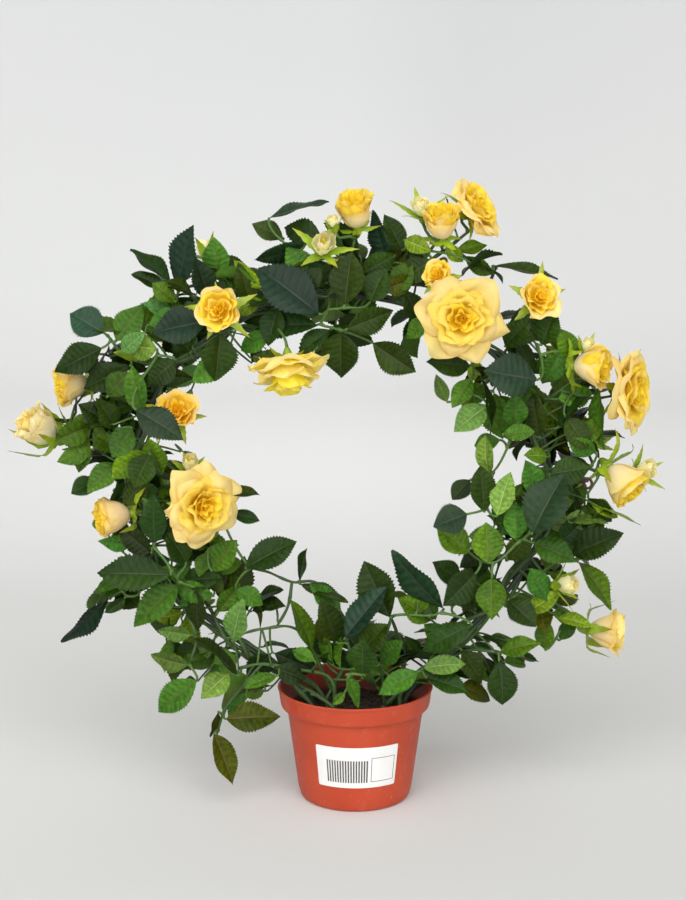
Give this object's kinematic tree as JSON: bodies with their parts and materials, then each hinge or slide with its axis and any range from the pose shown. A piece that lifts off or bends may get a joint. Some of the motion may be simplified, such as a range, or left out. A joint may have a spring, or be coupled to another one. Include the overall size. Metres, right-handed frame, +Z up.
{
  "type": "artificial miniature rose on a hoop in a pot",
  "caption": "Artificial yellow miniature rose trained round an upright wire hoop, with silk leaves, open roses and buds, in a small orange plastic pot with a blank price sticker.",
  "frame": {"origin": "middle of the pot's flat underside, which stands on the table", "axes": "+Z up, +X to the right along the hoop's plane as seen from the front, +Y to the back through the hoop"},
  "size_m": [0.4833, 0.1755, 0.4773],
  "materials": {
    "pot_plastic": "satin",
    "pot_fill": "matte",
    "label_paper": "satin",
    "hoop_wire": "satin",
    "stem_plastic": "satin",
    "foliage": "satin",
    "rose_petals": "satin"
  },
  "bodies": {
    "root": {"cane_left_high": "stem_plastic", "cane_left_low": "stem_plastic", "cane_left_middle": "stem_plastic", "cane_right_high": "stem_plastic", "cane_right_low": "stem_plastic", "cane_right_middle": "stem_plastic", "fill": "pot_fill", "flower_back_left": "rose_petals", "flower_back_right": "rose_petals", "flower_back_top": "rose_petals", "flower_front_left": "rose_petals", "flower_front_right": "rose_petals", "flower_inside_top": "rose_petals", "flower_right": "rose_petals", "flower_right_high": "rose_petals", "flower_right_low": "rose_petals", "flower_top_middle": "rose_petals", "flower_top_right": "rose_petals", "hoop_arc_left": "hoop_wire", "hoop_arc_left_low": "hoop_wire", "hoop_arc_right": "hoop_wire", "hoop_arc_right_low": "hoop_wire", "hoop_arc_top_left": "hoop_wire", "hoop_arc_top_right": "hoop_wire", "hoop_leg_left": "hoop_wire", "hoop_leg_right": "hoop_wire", "label": "label_paper", "leaves_basal_left": "foliage", "leaves_basal_middle": "foliage", "leaves_basal_right": "foliage", "leaves_left": "foliage", "leaves_left_foot": "foliage", "leaves_left_high": "foliage", "leaves_left_low": "foliage", "leaves_left_upper": "foliage", "leaves_low_left": "foliage", "leaves_right": "foliage", "leaves_right_foot": "foliage", "leaves_right_high": "foliage", "leaves_right_low": "foliage", "leaves_top": "foliage", "leaves_top_left": "foliage", "leaves_top_mid_right": "foliage", "leaves_top_right": "foliage", "pot": "pot_plastic", "spray_hanging_left": "foliage", "spray_high_left": "foliage", "spray_left_flower_tip": "foliage", "spray_left_low_flower": "foliage", "spray_low_right": "foliage", "spray_right_blade": "foliage", "spray_tip_low_left": "foliage", "spray_top_left_blade": "foliage", "spray_upper_left_tip": "foliage", "stem_arching": "stem_plastic"}
  },
  "joints": []
}
